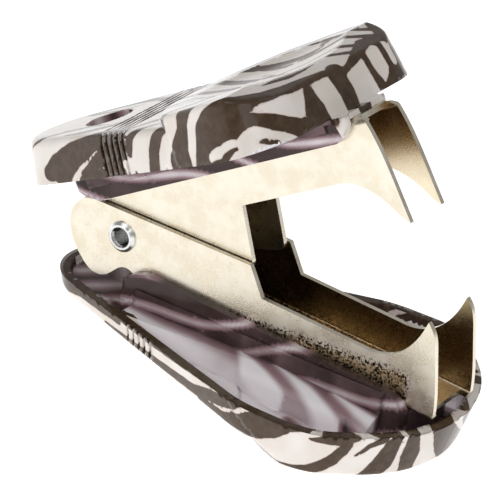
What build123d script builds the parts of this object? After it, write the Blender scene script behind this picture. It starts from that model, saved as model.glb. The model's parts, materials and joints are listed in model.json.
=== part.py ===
from build123d import *
import os
from math import acos, atan2, cos, degrees, hypot, radians, sin, tan

# ---------------------------------------------------------------- driving dimensions (mm, degrees)
# Every piece is drawn in its own jaw frame first: pivot axis on Y through the origin, X along the jaw
# towards the fangs, Z up.  The lower set is then tilted by REST_TILT, the upper set by REST_TILT + OPEN.
REST_TILT = 1.9          # lower jaw rises this much when the remover stands on its pad and tail
OPEN = 34.5              # angle between the jaws when the spring holds them fully open

SHEET = 0.8              # sheet steel
LOWER_W = 11.0           # outside width of the lower (outer) jaw
JAW_GAP = 0.25           # side play between the two jaws
UPPER_W = LOWER_W - 2 * SHEET - 2 * JAW_GAP
BEND_R = 1.2             # outside bend radius, web to side wall

PIN_R = 1.75             # rivet shank
PIN_BORE_R = 1.35
PIN_HEAD_R = 2.35
PIN_HEAD_T = 0.55
PIN_CLEAR = 0.05         # running clearance in the upper jaw

WIRE = 0.9               # torsion spring
COIL_R = 2.75            # mean radius of the coil
COIL_TURNS = 4
LEG_X = 15.0             # how far each leg reaches along its jaw

LAND = 0.15              # depth of the flat lands the remover stands on
SHELL = 1.5              # wall of the plastic grips
RAIL = 1.3               # rail on each side of the metal channel
LEDGE = 0.35             # the base of the rails is this much wider on each side
GROOVES = [7.6 + 1.3 * i for i in range(5)]
GROOVE_W, GROOVE_D = 0.5, 0.35


def jaw_body(face, width, web_z, split_x, up):
    """Stamped jaw: side walls from one XZ outline, bent round a web for x > split_x (up: web on top)."""
    solid = extrude(face, amount=width, both=True)
    s = 1 if up else -1
    tall = 60.0
    outer = RectangleRounded(width, tall, BEND_R)
    inner = RectangleRounded(width - 2 * SHEET, tall, BEND_R - SHEET)
    outer_y = Plane.YZ * (Pos(0, web_z - s * tall / 2) * outer)
    inner_y = Plane.YZ * (Pos(0, web_z - s * (tall / 2 + SHEET)) * inner)
    channel = extrude(outer_y, amount=100) - extrude(inner_y, amount=100)
    front = solid & (Pos(split_x, 0, 0) * channel)
    rear = solid & (Pos(split_x, 0, 0) * Box(100, width, 200, align=(Align.MAX, Align.CENTER, Align.CENTER)))
    rear -= Box(200, width - 2 * SHEET, 200)
    return front + rear


def outline(*pieces):
    """Closed face in XZ from straight runs (lists of 2 or more points) and smooth runs ('s', points)."""
    edges = []
    for kind, pts in pieces:
        if kind == "s":
            edges.append(Plane.XZ * Spline(*pts))
        else:
            edges.append(Plane.XZ * Polyline(*pts))
    return make_face(Sketch() + [e for group in edges for e in group.edges()])


def xz(points):
    return [(x, z) for x, z in points]


# ---------------------------------------------------------------- lower jaw (outer channel)
LOW_WEB = -5.7           # outside face of the web
low_face = outline(
    ("l", xz([(-6.0, 3.75), (21.9, 5.0), (24.6, 0.75), (41.6, 0.75)])),
    ("s", xz([(41.6, 0.75), (44.6, 1.0), (46.9, 2.0), (48.9, 3.9), (50.4, 6.4), (51.35, 9.1)])),
    ("s", xz([(51.35, 9.1), (52.4, 7.9), (53.4, 4.6), (54.2, 0.6), (54.7, -2.4), (54.9, -4.9)])),
    ("l", xz([(54.9, -4.9), (54.5, LOW_WEB), (3.3, LOW_WEB)])),
    ("s", xz([(3.3, LOW_WEB), (2.3, -4.75), (0.9, -4.75), (-0.5, -5.9), (-2.1, -7.35), (-4.2, -7.65),
              (-6.2, -6.4), (-7.9, -4.6), (-9.0, -2.4), (-9.3, 0.0), (-8.6, 2.0), (-7.4, 3.2),
              (-6.0, 3.75)])),
)
lower_jaw = jaw_body(low_face, LOWER_W, LOW_WEB, 3.3, up=False)
# the web stops a little behind the fangs, between two relief notches
lower_jaw -= Pos(55.5, 0, LOW_WEB) * Box(4.0, LOWER_W - 2 * BEND_R, 3.0)
lower_jaw -= Rot(90, 0, 0) * Cylinder(PIN_R, 40)

# ---------------------------------------------------------------- upper jaw (inner channel)
UP_WEB = 8.6
up_face = outline(
    ("l", xz([(3.4, UP_WEB), (47.0, UP_WEB), (47.9, 7.9)])),
    ("s", xz([(47.9, 7.9), (48.5, 5.2), (49.0, 1.2), (49.3, -3.4), (49.55, -7.5)])),
    ("s", xz([(49.55, -7.5), (48.3, -6.2), (47.2, -4.5), (45.9, -2.9), (44.2, -1.4), (42.2, -0.3), (39.6, 0.1)])),
    ("l", xz([(39.6, 0.1), (22.3, 0.25), (20.7, -7.6)])),
    ("s", xz([(20.7, -7.6), (20.2, -8.6), (19.0, -8.85)])),
    ("l", xz([(19.0, -8.85), (3.0, -4.95)])),
    ("s", xz([(3.0, -4.95), (0.0, -4.6), (-3.4, -4.3), (-6.2, -2.9), (-7.6, -0.6), (-7.8, 2.2), (-6.6, 4.6),
              (-4.2, 5.5), (-1.6, 5.6), (1.0, 5.9), (2.3, 6.6), (3.4, UP_WEB)])),
)
upper_jaw = jaw_body(up_face, UPPER_W, UP_WEB, 3.4, up=True)
upper_jaw -= Pos(48.2, 0, UP_WEB) * Box(3.6, UPPER_W - 2 * BEND_R, 3.0)
upper_jaw -= Rot(90, 0, 0) * Cylinder(PIN_R + PIN_CLEAR, 40)

# ---------------------------------------------------------------- pivot rivet (tubular, rolled heads)
span = LOWER_W / 2
half = Polyline((PIN_BORE_R, 0), (PIN_BORE_R, span + 0.1), (PIN_BORE_R + 0.25, span + PIN_HEAD_T),
                (PIN_HEAD_R - 0.45, span + PIN_HEAD_T), (PIN_HEAD_R, span + 0.25), (PIN_HEAD_R, span),
                (PIN_R, span), (PIN_R, 0), close=True)
ring = revolve(make_face(half), Axis.Y)
pivot_rivet = ring + mirror(ring, Plane.XZ)

# ---------------------------------------------------------------- torsion spring (coil round the rivet)
# The legs leave the coil tangentially and press outwards, each on the inside of its jaw's web.
low_leg = (LEG_X, LOW_WEB + SHEET + WIRE / 2 + 0.05)
up_local = (LEG_X, UP_WEB - SHEET - WIRE / 2 - 0.05)
up_leg = (up_local[0] * cos(radians(OPEN)) - up_local[1] * sin(radians(OPEN)),
          up_local[0] * sin(radians(OPEN)) + up_local[1] * cos(radians(OPEN)))


def tangent_angle(point, side):
    """Angle (degrees, X to Z) at which a straight leg to the point leaves the coil's circle."""
    return degrees(atan2(point[1], point[0]) + side * acos(COIL_R / hypot(*point)))


leave_low, leave_up = tangent_angle(low_leg, -1), tangent_angle(up_leg, 1)
turns = COIL_TURNS + ((leave_low - leave_up) % 360) / 360
pitch = WIRE * 1.06
COIL_PIECES = 12         # the coil is swept in short equal pieces, which fuse into one wire
step = turns / COIL_PIECES
arc = Helix(pitch, pitch * step, COIL_R, direction=(0, 1, 0))
arc_wire = sweep(Plane(origin=arc @ 0, z_dir=arc % 0) * Circle(WIRE / 2), path=arc)


def coil_place(i):
    """Where piece i of the coil sits: turned about the pivot and moved along it."""
    return Rot(0, 90 - leave_low + 360 * step * i, 0) * Pos(0, pitch * (i * step - turns / 2), 0)


torsion_spring = coil_place(0) * arc_wire
for i in range(1, COIL_PIECES):
    torsion_spring += coil_place(i) * arc_wire
start = (coil_place(0) * Pos(*(arc @ 0))).position
end = (coil_place(COIL_PIECES - 1) * Pos(*(arc @ 1))).position
for at, tip in ((start, low_leg), (end, up_leg)):
    run = Vector(tip[0], at.Y, tip[1]) - at
    rod = Plane(origin=at, z_dir=run) * Cylinder(WIRE / 2, run.length, align=(Align.CENTER, Align.CENTER, Align.MIN))
    torsion_spring += Pos(at.X, at.Y, at.Z) * Sphere(WIRE / 2 + 0.03)
    torsion_spring += rod
    torsion_spring += Pos(tip[0], at.Y, tip[1]) * Sphere(WIRE / 2)


# ---------------------------------------------------------------- plastic grips
def hull(circles, inset=0.0):
    """Plan outline: the tight band round a set of circles (x, y, radius), pulled in by inset."""
    rings = []
    for x, y, r in circles:
        for s in ((1, -1) if y else (1,)):
            rings += (Pos(x, s * y) * Circle(r - inset)).edges()
    return make_hull(rings)


def under(line, drop):
    """Everything below a straight side-view line (x0, z0), (x1, z1), lowered by drop."""
    (x0, z0), (x1, z1) = line
    slope = (z1 - z0) / (x1 - x0)
    left, right = z0 - drop - slope * (x0 + 60), z1 - drop + slope * (100 - x1)
    side = make_face(Plane.XZ * Polyline((-60, left), (100, right), (100, -30), (-60, -30), close=True))
    return extrude(side, amount=60, both=True)


def soften(body, edges, radius):
    """Fillet, stepping the radius down if the corner geometry does not take the full one."""
    for scale in (1.0, 0.85, 0.7, 0.5, 0.3):
        try:
            return fillet(edges, radius * scale)
        except ValueError:
            print("fillet", round(radius * scale, 2), "too large, trying a smaller one")
    return body


def tapered(foot, head, base, tall):
    """Straight-sided block between two outlines of the same family."""
    return loft([(Pos(0, 0, base) * foot).faces()[0], (Pos(0, 0, base + tall) * head).faces()[0]], ruled=True)


def block(circles, base, top_line, taper, edge_r, inset=0.0, drop=0.0, tall=14):
    """One smooth block: tapered plan outline under a side-view line, with a rounded finger-side edge."""
    body = tapered(hull(circles, inset), hull(circles, inset + tall * tan(radians(taper))), base, tall)
    body = body & under(top_line, drop)
    return soften(body, body.faces().sort_by(Axis.Z)[-1].edges(), edge_r)


def saddle(metal_w, ledge_line, floor_z, sweep_r, x_range):
    """Base of the rails: wider than them by a small ledge, and swept out into the floor in a hollow curve."""
    half = metal_w / 2 + RAIL + LEDGE
    top = floor_z - sweep_r
    right = [Line((0, -5), (half, -5)), Line((half, -5), (half, top)),
             RadiusArc((half, top), (half + sweep_r, floor_z), -sweep_r),
             Line((half + sweep_r, floor_z), (half + sweep_r, floor_z + 4)), Line((half + sweep_r, floor_z + 4),
                                                                                (0, floor_z + 4)),
             Line((0, floor_z + 4), (0, -5))]
    face = Plane.YZ * make_face(right)
    low, high = x_range
    body = Pos(low, 0, 0) * extrude(face, amount=high - low)
    body = body + mirror(body, Plane.XZ)
    return body - under(ledge_line, 0)


def grip(circles, base, rim_line, tail_line, pad_lines, pad_cut, taper, metal_w, web_z, rail_z,
         rail_x, tail_recess, dish, edge, ledge_line, sweep_r):
    """Hollow finger grip, finger side up.  Heights are measured from the pivot towards the finger side."""
    tail = block(circles, base, tail_line, taper, edge[0])
    wide = tapered(hull(circles), hull(circles, 14 * tan(radians(taper - 2.5))), base, 14)
    x, r_base, r_top = pad_cut
    lip = Pos(x, 0, base) * Cone(r_base, r_top, 14, align=(Align.CENTER, Align.CENTER, Align.MIN))
    pad = wide & lip
    for line in pad_lines:
        pad = pad & under(line, 0)
    pad = soften(pad, [e for f in pad.faces().sort_by(Axis.Z)[-len(pad_lines):] for e in f.edges()
                       if not (e.geom_type == GeomType.LINE and abs((e % 0.5).Y) > 0.99 and e.length > 25
                               and e.center().X < 40)], edge[1])
    outer = tail + pad
    # fine grooves across the waist
    skin = tail - block(circles, base, tail_line, taper, edge[0] - 0.2, GROOVE_D, GROOVE_D)
    for gx in GROOVES:
        outer -= skin & (Pos(gx, 0, base + 8) * Box(GROOVE_W, 60, 30))
    # thumb dish in the pad and round recess in the tail
    dx, dz, dr = dish
    outer -= Pos(dx, 0, dz + dr) * Sphere(dr)
    rx, rz, rr = tail_recess
    outer -= Pos(rx, 0, rz) * Cylinder(rr, 6, align=(Align.CENTER, Align.CENTER, Align.MIN))
    solid = outer
    # hollow, open towards the metal
    outer -= block(circles, base - 0.01, tail_line, taper, edge[0] - 0.4, SHELL, SHELL + 0.3)
    deep = tapered(hull(circles, SHELL), hull(circles, SHELL + 14 * tan(radians(taper))), base - 0.01, 14)
    deep = deep & (Pos(x, 0, base - 0.01) * Cone(r_base - SHELL, r_top - SHELL, 14,
                                                 align=(Align.CENTER, Align.CENTER, Align.MIN)))
    for line in pad_lines:
        deep = deep & under(line, SHELL + 1.3)
    outer -= deep
    # rails that hold the channel, on a wider base that runs out into the floor
    low, high = rail_x
    core = Pos((low + high) / 2, 0, 0) * Box(high - low, metal_w + 2 * RAIL, 24)
    core = fillet(core.edges().filter_by(Axis.Z), RAIL)
    seat = Plane.XZ * Polyline((low - 1, rail_z + 3.6), (low + 0.3, rail_z + 2.3), (low + 1.9, rail_z + 0.9),
                               (low + 4.0, rail_z), (high - 2.6, rail_z), (high - 0.9, rail_z + 0.8),
                               (high + 1, rail_z + 3.4), (high + 1, 40), (low - 1, 40), close=True)
    core = core & extrude(make_face(seat), amount=40, both=True)
    floor_z = under_height(pad_lines[0], 34) - SHELL - 1.3
    core = core + saddle(metal_w, ledge_line, floor_z, sweep_r, (low + 3, high - 3.5))
    inside = solid & (Pos(20, 0, base + 10.6) * Box(160, 80, 20))
    keep = Pos((low + high) / 2, 0, base + 0.6) * Box(high - low + 4, metal_w + 2 * RAIL, 30, align=(
        Align.CENTER, Align.CENTER, Align.MAX))
    side = tapered(hull(circles, SHELL / 2), hull(circles, SHELL / 2), -20, base + 20.6)
    body = outer + (core & inside) + (core & (side + keep) & (Pos(20, 0, base + 0.6) * Box(
        160, 80, 40, align=(Align.CENTER, Align.CENTER, Align.MAX))))
    # rim plane, which the rails and their base stand through
    rim_cut = under(rim_line, 0)
    body -= rim_cut - (Pos((low + high) / 2, 0, 0) * Box(high - low + 4, metal_w + 2 * RAIL + 2 * LEDGE + 0.02, 300))
    # seat for the metal channel
    body -= Pos(20, 0, web_z) * Box(200, metal_w, 40, align=(Align.CENTER, Align.CENTER, Align.MAX))
    return body


def under_height(line, x):
    (x0, z0), (x1, z1) = line
    return z0 + (z1 - z0) * (x - x0) / (x1 - x0)


UPPER_PLAN = [(-6.4, 0, 8.3), (34.9, 11.5, 8.8)]
upper_grip = grip(
    UPPER_PLAN, 8.8, ((-13, 10.45), (44, 9.5)), ((-14, 17.1), (17, 15.8)),
    [((16, 16.9), (36, 17.9)), ((37.5, 17.7), (44, 15.1))], (36.6, 21.2, 20.2), 11, UPPER_W, UP_WEB, 5.9,
    (-5.4, 45.6), (0.7, 14.6, 3.6), (31.0, 16.0, 50), (1.5, 0.9), ((0, 8.0), (44, 7.6)), 3.0)

LOWER_PLAN = [(-3.6, 0, 9.2), (39.0, 9.0, 12.2), (35.2, 0, 21.2)]
lower_grip = grip(
    LOWER_PLAN, 6.4, ((-13, 10.0), (40, 6.5)), ((-14, 12.9), (28, 12.3)), [((20, 14.0), (60, 14.0))],
    (43.5, 25.1, 14.6), 16, LOWER_W, -LOW_WEB, 3.5,
    (1.5, 51.0), (0.7, 11.4, 3.6), (38.0, 12.9, 62), (1.4, 1.6), ((0, 6.5), (50, 3.45)), 4.0)
lower_grip = Rot(180, 0, 0) * lower_grip

# ---------------------------------------------------------------- assemble in one frame
LOWER = Rot(0, -REST_TILT, 0)
UPPER = Rot(0, -(REST_TILT + OPEN), 0)
parts = {
    "lower_jaw": LOWER * lower_jaw,
    "lower_grip": LOWER * lower_grip,
    "pivot_rivet": LOWER * pivot_rivet,
    "torsion_spring": LOWER * torsion_spring,
    "upper_jaw": UPPER * upper_jaw,
    "upper_grip": UPPER * upper_grip,
}
# two small flat lands on the lower grip, one under the tail and one under the pad, carry it on the table
grip_low = parts["lower_grip"]
tail_low = (grip_low & (Pos(-60, 0, 0) * Box(120, 120, 120))).bounding_box().min.Z
pad_low = (grip_low & (Pos(60, 0, 0) * Box(80, 120, 120))).bounding_box().min.Z
print("lowest: tail", round(tail_low, 3), "pad", round(pad_low, 3))
parts["lower_grip"] = grip_low & (Pos(0, 0, max(tail_low, pad_low) + LAND) * Box(
    200, 200, 200, align=(Align.CENTER, Align.CENTER, Align.MIN)))
boxes = [p.bounding_box() for p in parts.values()]
low = [min(getattr(b.min, a) for b in boxes) for a in "XYZ"]
high = [max(getattr(b.max, a) for b in boxes) for a in "XYZ"]
SHIFT = Vector(-(low[0] + high[0]) / 2, -(low[1] + high[1]) / 2, -low[2])

os.makedirs("parts", exist_ok=True)
for name, shape in parts.items():
    placed = Pos(SHIFT.X, SHIFT.Y, SHIFT.Z) * shape
    placed = placed.solids()[0] if len(placed.solids()) == 1 else placed
    export_step(placed, "parts/" + name + ".step")
    print(name, "solids", len(placed.solids()), "valid", placed.is_valid, "volume", round(placed.volume, 1))
print("pivot at", round(SHIFT.X, 3), round(SHIFT.Y, 3), round(SHIFT.Z, 3), "size", [round(h - g, 2) for g, h in zip(low, high)])
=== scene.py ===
"""Looks of the staple remover: plated jaws, nickel rivet, spring and printed glossy grips."""
import json
import math

import bmesh
import bpy
import numpy as np
from mathutils import Matrix, Vector


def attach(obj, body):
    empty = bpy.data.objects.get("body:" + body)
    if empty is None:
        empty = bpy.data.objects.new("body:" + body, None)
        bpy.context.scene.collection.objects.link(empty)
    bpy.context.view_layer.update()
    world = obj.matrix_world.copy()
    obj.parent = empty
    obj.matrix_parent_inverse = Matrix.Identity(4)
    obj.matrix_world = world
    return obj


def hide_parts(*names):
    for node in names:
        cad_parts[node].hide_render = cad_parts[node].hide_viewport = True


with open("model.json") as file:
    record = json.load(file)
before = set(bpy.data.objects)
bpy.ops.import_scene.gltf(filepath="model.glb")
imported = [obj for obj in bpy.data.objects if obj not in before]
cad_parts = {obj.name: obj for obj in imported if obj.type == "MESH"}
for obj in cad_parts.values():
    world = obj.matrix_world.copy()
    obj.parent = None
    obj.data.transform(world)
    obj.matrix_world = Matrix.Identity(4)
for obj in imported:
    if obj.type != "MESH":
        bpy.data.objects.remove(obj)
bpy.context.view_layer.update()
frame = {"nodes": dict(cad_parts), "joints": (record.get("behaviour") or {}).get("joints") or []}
nodes = frame["nodes"]
PIVOT = Vector(frame["joints"][0]["pos_m"])
LOWER_TILT, UPPER_TILT = 1.9, 36.4          # degrees of each jaw above the table at rest
MM_PER_METRE = 1000.0


# ------------------------------------------------------------------ small helpers
def to_jaw(co, tilt, flip):
    """Rest-frame metres to jaw-frame millimetres (x to the fangs, y across, h towards the finger side)."""
    a = math.radians(tilt)
    p = (co - np.array(PIVOT)) * MM_PER_METRE
    x = p[:, 0] * math.cos(a) + p[:, 2] * math.sin(a)
    z = -p[:, 0] * math.sin(a) + p[:, 2] * math.cos(a)
    return np.stack([x, p[:, 1], -z if flip else z], 1)


class Nodes:
    """Short-hand for building a node tree."""

    def __init__(self, name):
        self.mat = bpy.data.materials.new(name)
        self.mat.use_nodes = True
        self.n, self.l = self.mat.node_tree.nodes, self.mat.node_tree.links
        self.n.clear()
        out = self.n.new("ShaderNodeOutputMaterial")
        self.bsdf = self.n.new("ShaderNodeBsdfPrincipled")
        self.l.new(self.bsdf.outputs[0], out.inputs[0])

    def set(self, **values):
        for k, v in values.items():
            self.bsdf.inputs[k.replace("_", " ")].default_value = v

    def put(self, socket, value):
        if isinstance(value, bpy.types.NodeSocket):
            self.l.new(value, socket)
        else:
            socket.default_value = value

    def math(self, op, a, b=0.0, clamp=False):
        node = self.n.new("ShaderNodeMath")
        node.operation, node.use_clamp = op, clamp
        self.put(node.inputs[0], a)
        self.put(node.inputs[1], b)
        return node.outputs[0]

    def ramp(self, value, lo, hi, a=0.0, b=1.0):
        """Goes smoothly from a to b while the value goes from lo to hi."""
        node = self.n.new("ShaderNodeMapRange")
        node.interpolation_type = "SMOOTHSTEP"
        self.put(node.inputs[0], value)
        for i, v in enumerate((lo, hi, a, b), 1):
            self.put(node.inputs[i], v)
        return node.outputs[0]

    def mix(self, fac, a, b):
        node = self.n.new("ShaderNodeMix")
        node.data_type = "RGBA"
        self.put(node.inputs[0], fac)
        self.put(node.inputs[6], a)
        self.put(node.inputs[7], b)
        return node.outputs[2]

    def noise(self, vector, scale, detail=2.0, rough=0.5):
        node = self.n.new("ShaderNodeTexNoise")
        self.put(node.inputs["Vector"], vector)
        node.inputs["Scale"].default_value = scale
        node.inputs["Detail"].default_value = detail
        node.inputs["Roughness"].default_value = rough
        return node.outputs[0]

    def bump(self, height, distance, strength):
        node = self.n.new("ShaderNodeBump")
        node.inputs["Strength"].default_value = strength
        node.inputs["Distance"].default_value = distance
        self.put(node.inputs["Height"], height)
        return node.outputs[0]

    def coords(self):
        node = self.n.new("ShaderNodeTexCoord")
        return node.outputs["Object"], node.outputs["Normal"]

    def local(self, vector, tilt, is_point):
        """Jaw-frame x, y, z (millimetres for a point, unit for a normal)."""
        m = self.n.new("ShaderNodeMapping")
        if is_point:
            sub = self.n.new("ShaderNodeVectorMath")
            sub.operation = "SUBTRACT"
            self.l.new(vector, sub.inputs[0])
            sub.inputs[1].default_value = tuple(PIVOT)
            vector = sub.outputs[0]
            m.inputs["Scale"].default_value = (MM_PER_METRE,) * 3
        self.l.new(vector, m.inputs["Vector"])
        m.inputs["Rotation"].default_value = (0, math.radians(tilt), 0)
        s = self.n.new("ShaderNodeSeparateXYZ")
        self.l.new(m.outputs[0], s.inputs[0])
        return s.outputs[0], s.outputs[1], s.outputs[2]


# ------------------------------------------------------------------ champagne plated steel
WALL_NORMAL = 0.7           # a face that looks this much sideways is a side wall
# the sandy band lies below a line this far under the pivot, in millimetres, with this slope,
# and it fades out at both ends between these distances from the pivot
SAND_START, SAND_SLOPE = 5.3, 0.125
FANG_FADE, EAR_FADE = (51.0, 48.6), (4.0, 12.0)


def plated_steel(name, tilt, reflection_heights, pale_reflection, sand):
    """Pale outside; golden inside with a darker painted reflection, turning to a paler one between two
    heights.

    The heights are taken upwards on the upper jaw and downwards on the lower, sandy one.
    """
    t = Nodes(name)
    obj, nrm = t.coords()
    x, y, z = t.local(obj, tilt, True)
    nx, ny, nz = t.local(nrm, tilt, False)
    inward = t.math("LESS_THAN", t.math("MULTIPLY", y, ny), 0.0)
    wall = t.math("GREATER_THAN", t.math("ABSOLUTE", ny), WALL_NORMAL)
    inside = t.math("MULTIPLY", inward, wall)
    grain = t.noise(obj, 5200.0, 3.0, 0.6)
    fine = t.noise(obj, 9000.0, 2.0, 0.5)
    mottle = t.noise(obj, 320.0, 3.0, 0.55)
    cream = t.mix(t.ramp(mottle, 0.35, 0.7), (0.74, 0.67, 0.535, 1), (0.84, 0.785, 0.665, 1))
    # inside walls: golden-brown painted reflection, turning to a paler painted reflection between the
    # heights
    painted_reflection = t.mix(t.ramp(grain, 0.35, 0.7), (0.22, 0.14, 0.065, 1), (0.46, 0.33, 0.175, 1))
    reach = t.math("MULTIPLY", z, -1.0 if sand else 1.0)
    painted_reflection = t.mix(t.ramp(reach, reflection_heights[0], reflection_heights[1]), painted_reflection, pale_reflection)
    colour = t.mix(inside, cream, painted_reflection)
    if sand:
        # sandy, under-polished plating, strongest low down and towards the front
        low = t.math("ADD", t.math("ADD", reach, t.math("MULTIPLY", x, SAND_SLOPE)), -SAND_START)
        along = t.math("MULTIPLY", t.ramp(x, *FANG_FADE), t.ramp(x, *EAR_FADE))
        outside = t.math("SUBTRACT", 1.0, inside)
        amount = t.math("MULTIPLY", t.math("MULTIPLY", t.ramp(low, -0.3, 2.6), along), outside)
        speck = t.ramp(t.noise(obj, 3000.0, 2.0, 0.6), 0.40, 0.58)
        dusk = t.mix(speck, (0.030, 0.018, 0.010, 1), (0.62, 0.49, 0.29, 1))
        cover = t.math("SUBTRACT", t.math("MULTIPLY", amount, 1.7), speck)
        colour = t.mix(t.ramp(cover, -0.1, 0.6), colour, dusk)
    t.put(t.bsdf.inputs["Base Color"], colour)
    t.set(Metallic=1.0)
    t.put(t.bsdf.inputs["Roughness"], t.ramp(mottle, 0.3, 0.8, 0.24, 0.36))
    height = t.math("ADD", grain, t.math("MULTIPLY", fine, 0.5))
    t.put(t.bsdf.inputs["Normal"], t.bump(height, 0.00004, 0.45))
    return t.mat


def worn_metal(name, scale, detail, darker, lighter, smooth, rough):
    """Bare metal whose colour and roughness follow one fine noise."""
    t = Nodes(name)
    obj, _ = t.coords()
    wear = t.noise(obj, scale, detail, 0.6)
    t.put(t.bsdf.inputs["Base Color"], t.mix(t.ramp(wear, 0.3, 0.7), darker, lighter))
    t.set(Metallic=1.0)
    t.put(t.bsdf.inputs["Roughness"], t.ramp(wear, 0.3, 0.7, smooth, rough))
    t.put(t.bsdf.inputs["Normal"], t.bump(wear, 0.00002, 0.3))
    return t.mat


def dress(obj, material):
    obj.data.materials.clear()
    obj.data.materials.append(material)


# paler painted reflection colours for the insides of the lower and upper jaw
LOWER_PALE_REFLECTION, UPPER_PALE_REFLECTION = (0.62, 0.49, 0.28, 1), (0.80, 0.70, 0.52, 1)
dress(nodes["lower_jaw"], plated_steel("plated_steel_lower", LOWER_TILT, (-3.0, -9.5), LOWER_PALE_REFLECTION, True))
dress(nodes["upper_jaw"], plated_steel("plated_steel_upper", UPPER_TILT, (4.5, -4.5), UPPER_PALE_REFLECTION, False))
nickel = worn_metal("nickel_rivet", 900.0, 4.0, (0.66, 0.66, 0.66, 1), (0.80, 0.80, 0.79, 1), 0.16, 0.30)
wire = worn_metal("spring_wire", 2600.0, 3.0, (0.36, 0.35, 0.34, 1), (0.56, 0.55, 0.54, 1), 0.22, 0.4)
dress(nodes["pivot_rivet"], nickel)

COIL_REACH = 3.4            # in millimetres: what is further from the pivot is a leg


def spring_part(name, body, upper):
    """The spring's upper leg swings with the upper jaw; the coil and the other leg stay below."""
    bm = bmesh.new()
    bm.from_mesh(nodes["torsion_spring"].data)
    split = math.radians(0.5 * (LOWER_TILT + UPPER_TILT))
    drop = []
    for f in bm.faces:
        c = f.calc_center_median()
        x, z = (c.x - PIVOT[0]) * MM_PER_METRE, (c.z - PIVOT[2]) * MM_PER_METRE
        upper_leg = math.hypot(x, z) > COIL_REACH and -x * math.sin(split) + z * math.cos(split) > 0
        if upper_leg != upper:
            drop.append(f)
    bmesh.ops.delete(bm, geom=drop, context="FACES")
    rims = [e for e in bm.edges if e.is_boundary]
    if rims:
        bmesh.ops.holes_fill(bm, edges=rims, sides=0)
    mesh = bpy.data.meshes.new(name)
    bm.to_mesh(mesh)
    bm.free()
    obj = bpy.data.objects.new(name, mesh)
    bpy.context.scene.collection.objects.link(obj)
    for p in mesh.polygons:
        p.use_smooth = True
    dress(obj, wire)
    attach(obj, body)
    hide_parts("torsion_spring")


spring_part("spring_coil", "lower", False)
spring_part("spring_upper_leg", "upper", True)


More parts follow.
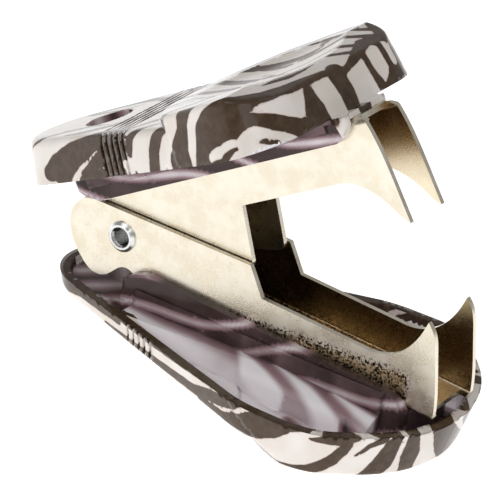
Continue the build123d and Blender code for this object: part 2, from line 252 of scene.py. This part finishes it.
# ------------------------------------------------------------------ printed grips
# The print is drawn on each grip laid out flat: the finger side as it is, with the walls folded outwards.
# A stroke is a row of (x, y, half-width) in millimetres; "dark" lays brown on, "light" takes it off again.
# BOTH repeats the stroke on the other side of the grip, a little shifted and thinner.
BOTH, ONE = True, False
UPPER_STROKES = [
    # tail
    ("dark", [(-8.2, -12.4, 1.5), (-5.5, -12.6, 2.6), (0.0, -12.6, 3.0), (6.0, -13.0, 3.4),
              (9.6, -14.2, 3.2)], BOTH),
    ("dark", [(-9.6, -16.2, 1.8), (-5.0, -17.0, 1.9), (1.0, -17.6, 1.9), (9.0, -18.8, 1.6)], BOTH),
    ("light", [(-4.6, -18.4, 0.9), (-2.6, -15.8, 0.8), (-0.4, -14.6, 0.4), (2.6, -14.0, 0.25),
               (5.6, -13.4, 0.1)], BOTH),
    ("dark", [(-11.5, -6.4, 0.1), (-8.4, -6.0, 0.5), (-4.4, -4.4, 0.6), (0.4, -4.0, 0.4),
              (4.6, -5.0, 0.2)], BOTH),
    ("dark", [(-2.4, -7.0, 0.2), (2.0, -7.4, 0.9), (6.0, -6.4, 0.9), (11.0, -3.6, 1.1),
              (15.4, -2.2, 0.4)], BOTH),
    ("dark", [(0.7, 0.0, 3.3)], ONE),
    ("dark", [(-9.0, 4.6, 0.3), (-4.0, 6.2, 0.8), (1.5, 6.9, 0.6), (6.0, 6.4, 0.2)], ONE),
    # waist
    ("dark", [(12.0, -13.6, 0.2), (13.6, -11.4, 0.6), (16.2, -9.2, 0.8), (21.0, -7.6, 0.9),
              (27.0, -7.0, 0.6), (33.0, -7.6, 0.1)], BOTH),
    ("dark", [(13.0, -17.0, 0.4), (14.2, -14.4, 0.9), (17.0, -12.6, 0.7), (21.0, -11.6, 0.3)], BOTH),
    ("dark", [(12.6, -22.6, 0.4), (12.9, -20.0, 0.4)], BOTH),
    ("dark", [(16.8, -24.6, 1.3), (17.4, -21.2, 1.3), (18.8, -18.4, 1.2), (21.2, -16.0, 1.3),
              (25.0, -14.2, 1.1), (30.0, -13.2, 0.9), (35.0, -12.8, 0.5), (38.0, -11.8, 0.1)], BOTH),
    ("dark", [(23.4, -27.0, 2.5), (24.2, -22.0, 2.5), (25.4, -20.2, 1.9), (28.0, -17.8, 1.2),
              (32.0, -16.6, 0.9), (36.4, -15.4, 0.4)], BOTH),
    # big dark flank of the pad, and its islands
    ("dark", [(28.6, -29.0, 2.8), (29.6, -25.4, 2.8), (31.8, -22.6, 2.6), (35.6, -20.6, 2.0),
              (39.0, -18.2, 1.6), (41.0, -14.6, 1.4), (42.0, -10.6, 1.2), (42.4, -6.4, 1.0),
              (42.9, -2.0, 0.6), (43.4, 1.6, 0.2)], BOTH),
    ("dark", [(33.0, -26.6, 2.2), (38.0, -24.2, 2.6), (41.6, -20.4, 2.4), (44.8, -16.4, 2.6),
              (48.6, -12.6, 2.4)], BOTH),
    ("dark", [(48.4, -22.4, 2.0), (43.0, -27.4, 2.4), (36.0, -30.2, 2.4)], BOTH),
    ("light", [(31.0, -25.2, 0.5), (34.6, -26.3, 0.8), (39.8, -25.8, 1.1), (43.2, -22.0, 1.7),
               (46.2, -19.6, 1.2), (49.6, -15.6, 0.9)], BOTH),
    ("light", [(37.0, -28.4, 0.8), (41.6, -26.6, 1.2), (46.0, -22.8, 1.7), (48.8, -19.0, 1.3)], BOTH),
    ("dark", [(32.6, -27.6, 0.6), (36.6, -27.2, 0.6), (39.4, -26.2, 0.2)], BOTH),
    ("dark", [(43.0, -23.2, 0.1), (45.0, -21.6, 0.5), (47.2, -19.6, 0.4)], BOTH),
    ("dark", [(43.6, -18.4, 0.7), (46.5, -16.0, 1.1), (48.4, -12.4, 1.6), (50.2, -10.4, 1.4)], BOTH),
    ("light", [(40.8, -19.0, 0.1), (42.6, -16.6, 0.8), (44.4, -13.6, 1.5), (45.6, -11.2, 1.5)], BOTH),
    # front wall
    ("dark", [(44.4, -7.6, 1.2), (47.4, -8.0, 2.3), (50.2, -8.4, 2.8)], ONE),
    ("dark", [(43.6, -0.4, 1.8), (47.0, 0.2, 1.7), (50.8, -0.2, 1.5)], ONE),
    ("dark", [(33.0, -1.6, 0.1), (38.0, 1.0, 0.4), (40.8, 4.8, 0.5), (42.3, 7.1, 0.55),
              (45.6, 7.3, 0.65), (49.8, 8.2, 1.1)], ONE),
    ("dark", [(30.0, 1.4, 0.2), (36.0, 4.0, 0.5), (40.2, 8.3, 0.6), (42.6, 11.3, 0.65),
              (46.0, 11.9, 0.7), (50.0, 12.6, 0.9)], ONE),
    ("dark", [(27.0, 4.4, 0.15), (33.6, 7.4, 0.6), (38.0, 11.2, 0.6), (41.6, 14.6, 0.6),
              (45.6, 15.4, 0.7), (48.8, 17.6, 0.9)], ONE),
    ("dark", [(33.0, 11.6, 0.3), (38.4, 15.2, 0.6), (46.8, 20.6, 1.2)], ONE),
    # top of the pad
    ("dark", [(13.6, 5.6, 0.4), (19.0, 8.6, 1.4), (24.0, 11.8, 2.1), (28.8, 14.8, 2.0),
              (33.6, 17.8, 1.5), (38.0, 19.4, 0.4)], ONE),
    ("dark", [(38.6, -11.6, 0.1), (39.4, -7.4, 0.8), (39.5, -3.4, 0.8), (39.6, 1.2, 0.15)], ONE),
    ("dark", [(14.6, -2.6, 0.4), (21.0, -3.6, 1.0), (28.0, -2.6, 1.1), (34.6, -3.6, 0.3)], ONE),
    ("dark", [(15.0, 1.6, 0.3), (22.0, 2.2, 0.9), (29.0, 2.8, 0.9), (35.6, 1.2, 0.2)], ONE),
    ("dark", [(17.0, 5.0, 0.2), (24.0, 7.2, 0.8), (31.0, 9.2, 0.7), (36.0, 12.0, 0.2)], ONE),
    ("dark", [(21.0, -10.0, 0.2), (27.0, -10.2, 0.7), (33.0, -10.2, 0.4), (36.0, -11.2, 0.1)], ONE),
]
LOWER_STROKES = [
    ("dark", [(-12.6, -3.4, 2.0), (-9.8, -8.6, 2.2), (-5.4, -12.0, 2.2), (0.0, -13.6, 1.6),
              (4.2, -14.6, 0.8)], BOTH),
    ("dark", [(-4.0, -14.6, 0.9), (3.4, -16.4, 1.6), (10.0, -19.0, 1.8), (17.0, -22.0, 1.8),
              (24.0, -25.2, 1.6), (30.0, -28.4, 1.2)], BOTH),
    ("dark", [(2.4, -10.6, 0.8), (12.0, -14.6, 0.9), (22.4, -19.0, 1.2), (25.8, -22.0, 1.4),
              (29.6, -25.0, 1.3), (33.0, -28.0, 0.8)], BOTH),
    ("dark", [(24.4, -18.4, 1.0), (29.2, -20.2, 1.3), (32.6, -22.6, 1.8), (36.4, -25.6, 2.0),
              (42.0, -28.6, 1.7), (47.6, -28.6, 1.1)], BOTH),
    ("dark", [(47.0, -25.8, 0.3), (50.0, -24.6, 1.0), (52.8, -22.4, 1.3), (54.6, -21.2, 0.9)], BOTH),
    ("dark", [(29.0, -16.8, 1.6), (36.6, -19.0, 1.3), (43.4, -19.2, 1.1), (48.6, -19.4, 1.3),
              (52.6, -20.6, 0.9), (55.0, -22.6, 0.3)], BOTH),
    ("dark", [(52.0, -17.8, 0.2), (55.0, -18.2, 0.6), (58.2, -17.2, 0.8)], BOTH),
    ("dark", [(49.4, -12.4, 1.4), (53.6, -13.0, 2.0), (58.0, -14.8, 1.6), (61.0, -15.2, 0.8)], BOTH),
    ("dark", [(53.6, -7.6, 1.3), (57.4, -9.4, 1.9), (61.6, -12.2, 1.2)], ONE),
    ("dark", [(56.0, 2.6, 3.2), (59.6, -0.8, 3.3), (63.0, -4.4, 2.6), (64.0, -8.0, 1.2)], ONE),
    ("light", [(57.0, 6.6, 0.5), (61.4, 1.8, 0.45), (64.4, -2.0, 0.35)], ONE),
    ("dark", [(54.6, 9.6, 2.2), (59.6, 7.0, 1.9), (62.6, 3.8, 1.2)], ONE),
    # finger side, seen only from below
    ("dark", [(-8.0, -2.0, 0.4), (-2.0, -1.0, 1.4), (6.0, 0.5, 1.2), (14.0, -1.0, 0.4)], ONE),
    ("dark", [(4.0, 5.0, 0.4), (12.0, 5.0, 1.2), (20.0, 6.6, 1.2), (30.0, 10.0, 0.4)], ONE),
    ("dark", [(14.0, -5.0, 0.3), (22.0, -6.4, 1.2), (31.0, -9.4, 1.5), (42.0, -12.0, 0.5)], ONE),
    ("dark", [(24.0, -1.0, 0.4), (33.0, -3.0, 1.5), (43.0, -4.0, 1.6), (52.0, -3.4, 0.6)], ONE),
    ("dark", [(30.0, 4.0, 0.4), (38.0, 4.6, 1.6), (46.0, 3.6, 1.4), (53.0, 1.8, 0.4)], ONE),
    ("dark", [(34.0, 9.8, 0.4), (41.0, 11.4, 1.6), (48.0, 10.0, 1.2), (53.0, 7.0, 0.4)], ONE),
]
# soft streaks of painted highlight and painted shade inside the lower grip, drawn like strokes and the same
# on both sides
PAINTED_HIGHLIGHT_STREAKS = [
    [(30, 7.2, 0.2), (36, 8.8, 0.6), (43, 11.4, 0.4)],
    [(40, 7.4, 0.2), (45, 8.4, 0.6), (51, 9.4, 0.3)],
    [(24, 7.6, 0.2), (27, 9.4, 0.8), (33, 11.0, 0.3)],
]
PAINTED_SHADE_STREAKS = [
    [(36, 12.4, 0.3), (42, 14.2, 0.7), (47, 15.2, 0.2)],
    [(44, 10.6, 0.2), (48, 12.4, 0.7), (51, 12.6, 0.2)],
]
# the dark lines in the upper grip's grooves are painted shade
GROOVE_X = [7.6 + 1.3 * i for i in range(5)]    # dark lines across the upper grip's grooves
GROOVE_HALF_LENGTH = 17
SHIFT, THINNER = 1.2, 0.95                      # how a mirrored stroke differs from its own
BARE = 4.0                                      # a signed distance to brown where there is none near
PAD_X, PAD_RADIUS = 40.0, 21.0                  # the round of the dished pad
TAIL_END = 1.8                                  # the inside of the tail ends here
RAIL_WIDTH = 1.6
BROWN_RIM_END = 44                              # the lower grip's rim is brown up to here
# how near a face is to the rim's height and to the outer wall, in millimetres, to belong to each kind
RIM_NEAR, RIM_WIDTH = 0.35, 2.4
ROLLED_NEAR, ROLLED_WIDTH = 1.1, 2.2
WALL_DEPTH, ABOVE_RIM = 0.8, 0.8
# limits on the parts of its unit normal, in the same sense
FLAT_DOWN, SLOPED_DOWN, UPWARD, NOT_INWARD = -0.8, -0.25, 0.3, -0.4
FAR = 1e9

# Millimetres and degrees in each jaw's own axes. A plan is (x, y, radius) of its rounds; base is the height
# where the outer wall has the plan's size and taper is its lean; rim and tops are (height at x = 0, slope);
# rail is how far the rails stand from the middle. The upper grip's plan, rim and taper are a little off its
# CAD shape: up to 0.9 mm in plan, up to 0.5 mm at the rim and three degrees of taper.
GRIPS = {
    "upper_grip": dict(
        tilt=UPPER_TILT, flip=False, body="upper", strokes=UPPER_STROKES, base=8.8, taper=14.0,
        plan=[(-6.4, 0, 8.3), (35.4, 12.0, 9.0)], rim=(10.28, -0.0272),
        tops=[(16.46, -0.0419), (16.1, 0.05), (32.7, -0.4)], rail=5.75),
    "lower_grip": dict(
        tilt=LOWER_TILT, flip=True, body="lower", strokes=LOWER_STROKES, base=6.4, taper=16.0,
        plan=[(-3.6, 0, 9.2), (39.0, 9.0, 12.2), (35.2, 0, 21.2)], rim=(9.14, -0.066),
        tops=[(12.7, -0.0143), (14.0, 0.0)], rail=6.8),
}


DIRECTION_STEP = 1.5        # degrees between the directions in which an outline is measured


def plan_distance(x, y, plan):
    """Signed distance to the plan outline (negative inside) and the outward direction there."""
    a = np.radians(np.arange(0, 360, DIRECTION_STEP))
    u = np.stack([np.cos(a), np.sin(a)], 0)
    reach = np.full(a.size, -FAR)
    for cx, cy, r in plan:
        for s in ((1, -1) if cy else (1,)):
            reach = np.maximum(reach, cx * u[0] + s * cy * u[1] + r)
    best = np.full(x.size, -FAR)
    way = np.zeros((x.size, 2))
    for i in range(a.size):
        d = x * u[0, i] + y * u[1, i] - reach[i]
        m = d > best
        best[m] = d[m]
        way[m] = u[:, i]
    return best, way


def stroke_distance(x, y, points):
    """Signed distance to a stroke of changing width."""
    best = np.full(x.size, FAR)
    pts = points if len(points) > 1 else points * 2
    for (x0, y0, r0), (x1, y1, r1) in zip(pts, pts[1:]):
        dx, dy = x1 - x0, y1 - y0
        t = np.clip(((x - x0) * dx + (y - y0) * dy) / max(dx * dx + dy * dy, 1e-9), 0, 1)
        best = np.minimum(best, np.hypot(x - x0 - t * dx, y - y0 - t * dy) - (r0 + t * (r1 - r0)))
    return best


LONGEST_EDGE = 0.0009       # metres
CUT_ROUNDS = 9


def fine_copy(src, name):
    """A copy of a CAD mesh, cut finer so that the print can be stored on it."""
    bm = bmesh.new()
    bm.from_mesh(src.data)
    bmesh.ops.triangulate(bm, faces=bm.faces[:])
    for _ in range(CUT_ROUNDS):
        long = [e for e in bm.edges if e.calc_length() > LONGEST_EDGE]
        if not long:
            break
        bmesh.ops.subdivide_edges(bm, edges=long, cuts=1)
        bmesh.ops.triangulate(bm, faces=[f for f in bm.faces if len(f.verts) > 3])
    mesh = bpy.data.meshes.new(name)
    bm.to_mesh(mesh)
    bm.free()
    obj = bpy.data.objects.new(name, mesh)
    bpy.context.scene.collection.objects.link(obj)
    for p in mesh.polygons:
        p.use_smooth = True
    keep = obj.modifiers.new("cad_normals", "DATA_TRANSFER")
    keep.object = src
    keep.use_loop_data = True
    keep.data_types_loops = {"CUSTOM_NORMAL"}
    keep.loop_mapping = "POLYINTERP_NEAREST"
    return obj


def mirrored(points):
    """A stroke for the other side of a grip, a little shifted and thinner."""
    return [(x - SHIFT * math.sin(y), -y, r * THINNER) for x, y, r in points]


def face_normals(mesh, loops_in_face):
    """Each corner's face normal."""
    normals = np.zeros(len(mesh.polygons) * 3)
    mesh.polygons.foreach_get("normal", normals)
    return np.repeat(normals.reshape(-1, 3), loops_in_face, axis=0)


def face_middles(corner, loops_in_face):
    """Each corner's face middle."""
    first = np.concatenate(([0], np.cumsum(loops_in_face)[:-1]))
    middle = np.add.reduceat(corner, first) / loops_in_face[:, None]
    return np.repeat(middle, loops_in_face, axis=0)


def slope_of(g):
    """How far the outer wall leans in, per millimetre of height."""
    return math.tan(math.radians(g["taper"]))


def kinds_of_face(centre, normal, g):
    """Whether each corner belongs to the rim's underside, and whether to the printed outside."""
    a = math.radians(g["tilt"])
    nx = normal[:, 0] * math.cos(a) + normal[:, 2] * math.sin(a)
    nh = -normal[:, 0] * math.sin(a) + normal[:, 2] * math.cos(a)
    nh = -nh if g["flip"] else nh
    x, y, h = centre.T
    edge, way = plan_distance(x, y, g["plan"])
    skin = edge + (h - g["base"]) * slope_of(g)
    above_rim = h - (g["rim"][0] + g["rim"][1] * x)
    facing = nx * way[:, 0] + normal[:, 1] * way[:, 1]
    on_rim = (nh < FLAT_DOWN) & (np.abs(above_rim) < RIM_NEAR) & (skin > -RIM_WIDTH)
    wall = (skin > -WALL_DEPTH) & (facing > NOT_INWARD)
    finger_side = (nh > UPWARD) & (above_rim > ABOVE_RIM)
    rolled_edge = (nh < SLOPED_DOWN) & (np.abs(above_rim) < ROLLED_NEAR) & (skin > -ROLLED_WIDTH)
    return on_rim, wall | finger_side | rolled_edge


def print_and_groove_shade_at(px, py, g):
    """Signed distance to brown at points of the grip laid out flat, with painted shade in the upper grip's
    grooves.
    """
    ink_and_groove_shade = np.full(px.size, BARE)
    for kind, points, both in g["strokes"]:
        for stroke in ((points, mirrored(points)) if both else (points,)):
            d = stroke_distance(px, py, stroke)
            ink_and_groove_shade = np.minimum(ink_and_groove_shade, d) if kind == "dark" else np.maximum(ink_and_groove_shade, -d)
    if not g["flip"]:
        # painted shade: dashed dark lines in the upper grip's grooves
        for i, gx in enumerate(GROOVE_X):
            dash = 0.42 + 0.24 * np.sin(py * 1.1 + 2.1 * i)
            d = np.abs(px - gx) - dash
            ink_and_groove_shade = np.where((np.abs(py) < GROOVE_HALF_LENGTH) & (d < 0.3), np.minimum(ink_and_groove_shade, d), ink_and_groove_shade)
    return ink_and_groove_shade


def shade_inside(x, y, h, edge, g):
    """Depth of painted shade inside: pale lavender near the rim, plum brown against the rails and to the
    front.
    """
    across = np.abs(y)
    rail_y = g["rail"]
    away = np.clip((across - rail_y - 0.3) / np.maximum(2.5, across - rail_y - edge - 1.9), 0, 1)
    front = np.clip((x - 30) / 18, 0, 1)
    # painted shade: deep against the rails, fading towards the rim, more slowly towards the front
    shade = 0.86 - away * (1.7 - 0.7 * front)
    # painted shade in waves inside the tail
    shade = np.where(x < TAIL_END, 0.62 + 0.3 * np.sin(1.1 * x + 0.9 * across), shade)
    # pale streaks of painted highlight and dark streaks of painted shade in the lower grip
    if g["flip"]:
        for points in PAINTED_HIGHLIGHT_STREAKS:
            shade = shade - 0.7 * np.clip((0.8 - stroke_distance(x, across, points)) / 1.2, 0, 1)
        for points in PAINTED_SHADE_STREAKS:
            shade = shade + 0.8 * np.clip((0.7 - stroke_distance(x, across, points)) / 1.2, 0, 1)
    else:
        # painted lighter towards the front of the upper grip
        shade = shade - 0.6 * np.clip((x - 34) / 8, 0, 1)
    # the rails: plum brown with pinkish patches
    rail = np.clip((rail_y + 0.55 - across) / 0.25, 0, 1) * (across > rail_y - RAIL_WIDTH)
    blot = 0.5 + 0.5 * np.sin(x * 0.45 + h * 1.25 + 1.6 * np.sin(x * 0.21 + 0.9))
    shade = shade + rail * (0.97 - 0.8 * np.clip(blot * 3.2 - 2.3, 0, 1) - shade)
    return np.clip(shade, 0, 1)


def paint(obj, g):
    """Stores on each corner: the print with painted shade in the grooves, whether it is inside, and the
    depth of painted shade there.
    """
    mesh = obj.data
    co = np.zeros(len(mesh.vertices) * 3)
    mesh.vertices.foreach_get("co", co)
    vertex = np.zeros(len(mesh.loops), int)
    mesh.loops.foreach_get("vertex_index", vertex)
    corner = to_jaw(co.reshape(-1, 3), g["tilt"], g["flip"])[vertex]
    loops_in_face = np.zeros(len(mesh.polygons), int)
    mesh.polygons.foreach_get("loop_total", loops_in_face)
    centre = face_middles(corner, loops_in_face)
    on_rim, outer = kinds_of_face(centre, face_normals(mesh, loops_in_face), g)

    x, y, h = corner.T
    edge, way = plan_distance(x, y, g["plan"])
    skin = edge + (h - g["base"]) * slope_of(g)      # 0 on the outer wall
    # the finger side: a plain top, with the dished pad let into it round PAD_X
    tops = [c + m * x for c, m in g["tops"]]
    pad = np.minimum.reduce(tops[1:])
    in_pad = 0.5 * (1 + np.tanh((np.hypot(x - PAD_X, y) - PAD_RADIUS) * -2.0))
    top = tops[0] + (pad - tops[0]) * in_pad
    drop = np.maximum(0, top - h) + np.where(on_rim, np.maximum(0, -skin), 0)
    # the print, with painted shade in the upper grip's grooves
    ink_and_groove_shade = print_and_groove_shade_at(x + way[:, 0] * drop, y + way[:, 1] * drop, g)
    if g["flip"]:
        ink_and_groove_shade = np.where(on_rim & (x < BROWN_RIM_END), np.minimum(ink_and_groove_shade, -1), ink_and_groove_shade)
    inside = np.where(outer | on_rim, 0.0, 1.0)
    shade = shade_inside(x, y, h, edge, g)
    # the depth of shade stored here is painted shade, with the rails' print laid on
    for name, values in (("print_ink_and_groove_shade", ink_and_groove_shade), ("print_inside", inside), ("painted_shade_and_rail_print", shade)):
        layer = mesh.attributes.new(name, "FLOAT", "CORNER")
        layer.data.foreach_set("value", values.astype(np.float32))


def printed_plastic(name):
    t = Nodes(name)
    obj, _ = t.coords()

    def attribute(key):
        node = t.n.new("ShaderNodeAttribute")
        node.attribute_name = key
        return node.outputs["Fac"]

    wobble = t.noise(obj, 700.0, 2.0, 0.5)
    broad = t.noise(obj, 180.0, 2.0, 0.5)
    # the print, with painted shade in the upper grip's grooves
    ink_and_groove_shade = t.math("ADD", attribute("print_ink_and_groove_shade"), t.math("MULTIPLY", t.math("SUBTRACT", wobble, 0.5), 0.35))
    light = t.ramp(ink_and_groove_shade, -0.07, 0.07)
    fringe = t.math("SUBTRACT", t.ramp(ink_and_groove_shade, -0.1, 0.02), t.ramp(ink_and_groove_shade, 0.06, 0.3))
    cream = t.mix(t.ramp(broad, 0.35, 0.7), (0.80, 0.735, 0.67, 1), (0.87, 0.82, 0.78, 1))
    cream = t.mix(t.math("MULTIPLY", fringe, 0.35, clamp=True), cream, (0.62, 0.42, 0.38, 1))
    brown = t.mix(t.ramp(wobble, 0.3, 0.75), (0.060, 0.036, 0.021, 1), (0.090, 0.058, 0.036, 1))
    outside = t.mix(light, brown, cream)
    # inside the grips: painted shade from pale lavender through plum to near black, with the rails' print
    shade = t.math("ADD", attribute("painted_shade_and_rail_print"), t.math("MULTIPLY", t.math("SUBTRACT", broad, 0.5), 0.25))
    mid = t.mix(t.ramp(shade, 0.0, 0.62), (0.97, 0.93, 0.96, 1), (0.33, 0.21, 0.235, 1))
    within = t.mix(t.ramp(shade, 0.55, 1.05), mid, (0.040, 0.022, 0.020, 1))
    t.put(t.bsdf.inputs["Base Color"], t.mix(attribute("print_inside"), outside, within))
    t.set(Roughness=0.17, IOR=1.30, Specular_IOR_Level=0.45, Coat_Weight=0.1, Coat_Roughness=0.04)
    t.put(t.bsdf.inputs["Normal"], t.bump(t.noise(obj, 260.0, 2.0, 0.5), 0.00004, 0.25))
    return t.mat


plastic = printed_plastic("printed_plastic")
for node, g in GRIPS.items():
    skin_obj = fine_copy(nodes[node], node + "_print")
    paint(skin_obj, g)
    dress(skin_obj, plastic)
    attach(skin_obj, g["body"])
    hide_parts(node)

# ------------------------------------------------------------------ floor, light and camera
FLOOR_REACH = 6             # metres
FLOOR_GLOW, WORLD_GLOW = 0.78, 0.36
floor_mesh = bpy.data.meshes.new("floor")
corners = [(sx * FLOOR_REACH, sy * FLOOR_REACH, 0) for sx, sy in ((-1, -1), (1, -1), (1, 1), (-1, 1))]
floor_mesh.from_pydata(corners, [], [(0, 1, 2, 3)])
floor = bpy.data.objects.new("floor", floor_mesh)
bpy.context.scene.collection.objects.link(floor)
pale = Nodes("floor")
pale.set(Base_Color=(0.92, 0.92, 0.92, 1), Roughness=0.9)
pale.set(Emission_Color=(1, 1, 1, 1), Emission_Strength=FLOOR_GLOW)
dress(floor, pale.mat)

world = bpy.data.worlds.new("studio")
bpy.context.scene.world = world
world.use_nodes = True
world.node_tree.nodes["Background"].inputs[0].default_value = (1, 1, 1, 1)
world.node_tree.nodes["Background"].inputs[1].default_value = WORLD_GLOW

LIT_POINT = Vector((0, 0, 0.02))


def softbox(name, where, size, power):
    """A rectangular lamp that looks at the object; metres and watts."""
    light = bpy.data.lights.new(name, "AREA")
    light.shape, light.size, light.size_y = "RECTANGLE", size[0], size[1]
    light.energy = power
    lamp = bpy.data.objects.new(name, light)
    lamp.location = where
    lamp.rotation_euler = (LIT_POINT - Vector(where)).to_track_quat("-Z", "Y").to_euler()
    bpy.context.scene.collection.objects.link(lamp)


softbox("key", (-0.35, -0.75, 0.75), (0.5, 0.5), 1.55)
softbox("fill", (0.25, -0.62, 0.42), (0.3, 0.3), 0.55)
softbox("top", (0.1, 0.35, 0.9), (0.8, 0.5), 1.0)

# The camera looks from this far round the front and down by this elevation, from a place given from the
# pivot. Direction and place are then tipped together about the hinge axis, so that the object slopes down.
CAMERA_AZIMUTH, CAMERA_ELEVATION = 34.0, 23.4
VIEW_TILT = LOWER_TILT + 10.64
CAMERA_FROM_PIVOT = (0.3134, -0.4370, 0.2285)
az, el, tip = (math.radians(d) for d in (CAMERA_AZIMUTH, CAMERA_ELEVATION, VIEW_TILT))
right = Vector((math.cos(az), math.sin(az), 0))
ahead = Vector((-math.sin(az) * math.cos(el), math.cos(az) * math.cos(el), -math.sin(el)))
up = right.cross(ahead)
basis = Matrix((right, up, -ahead)).transposed().to_4x4()
tipped = Matrix.Rotation(-tip, 4, "Y") @ Matrix.Translation(CAMERA_FROM_PIVOT) @ basis
cam_data = bpy.data.cameras.new("camera")
cam_data.sensor_width, cam_data.lens = 36.0, 288.0
cam_data.clip_start, cam_data.clip_end = 0.01, 50
camera = bpy.data.objects.new("camera", cam_data)
camera.matrix_world = Matrix.Translation(PIVOT) @ tipped
bpy.context.scene.collection.objects.link(camera)
bpy.context.scene.camera = camera
bpy.context.scene.view_settings.view_transform = "Standard"
